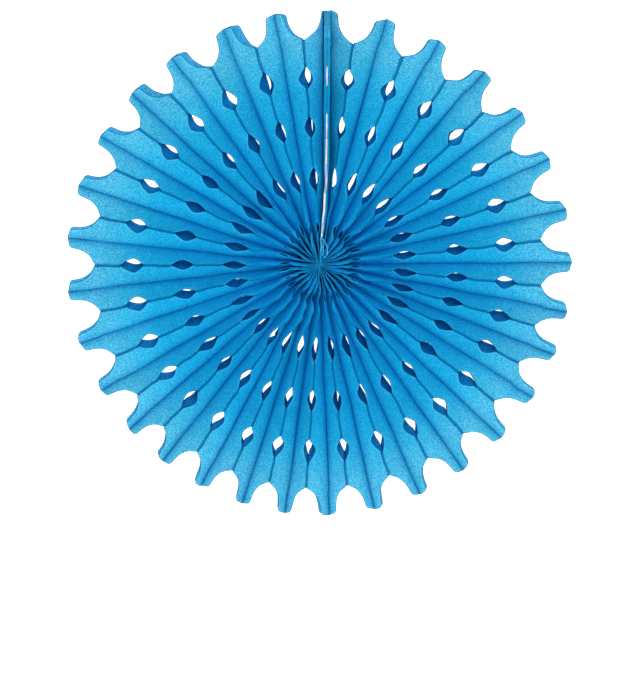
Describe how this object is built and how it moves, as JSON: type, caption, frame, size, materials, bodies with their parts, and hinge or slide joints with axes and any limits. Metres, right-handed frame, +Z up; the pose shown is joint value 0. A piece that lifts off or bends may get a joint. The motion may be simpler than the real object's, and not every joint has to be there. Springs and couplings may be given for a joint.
{
  "type": "tissue paper flower fan",
  "caption": "Round hanging decoration: die-cut tissue leaves glued in honeycomb cells, opened all the way round into a flower with a toothed rim and rings of diamond holes.",
  "frame": {"origin": "centre of the fan, on the axis of its spine, halfway through its depth", "axes": "+Y along the axis of the spine, away from the front; +Z up towards the hanging point at the seam; +X to the right of someone who faces the front"},
  "size_m": [0.4992, 0.061, 0.4997],
  "materials": {
    "tissue": "thin matt blue tissue paper",
    "card": "plain white card, cut edges bare"
  },
  "bodies": {
    "root": {"tissue_honeycomb": "tissue", "end_card_left": "card", "end_card_right": "card"}
  },
  "joints": []
}
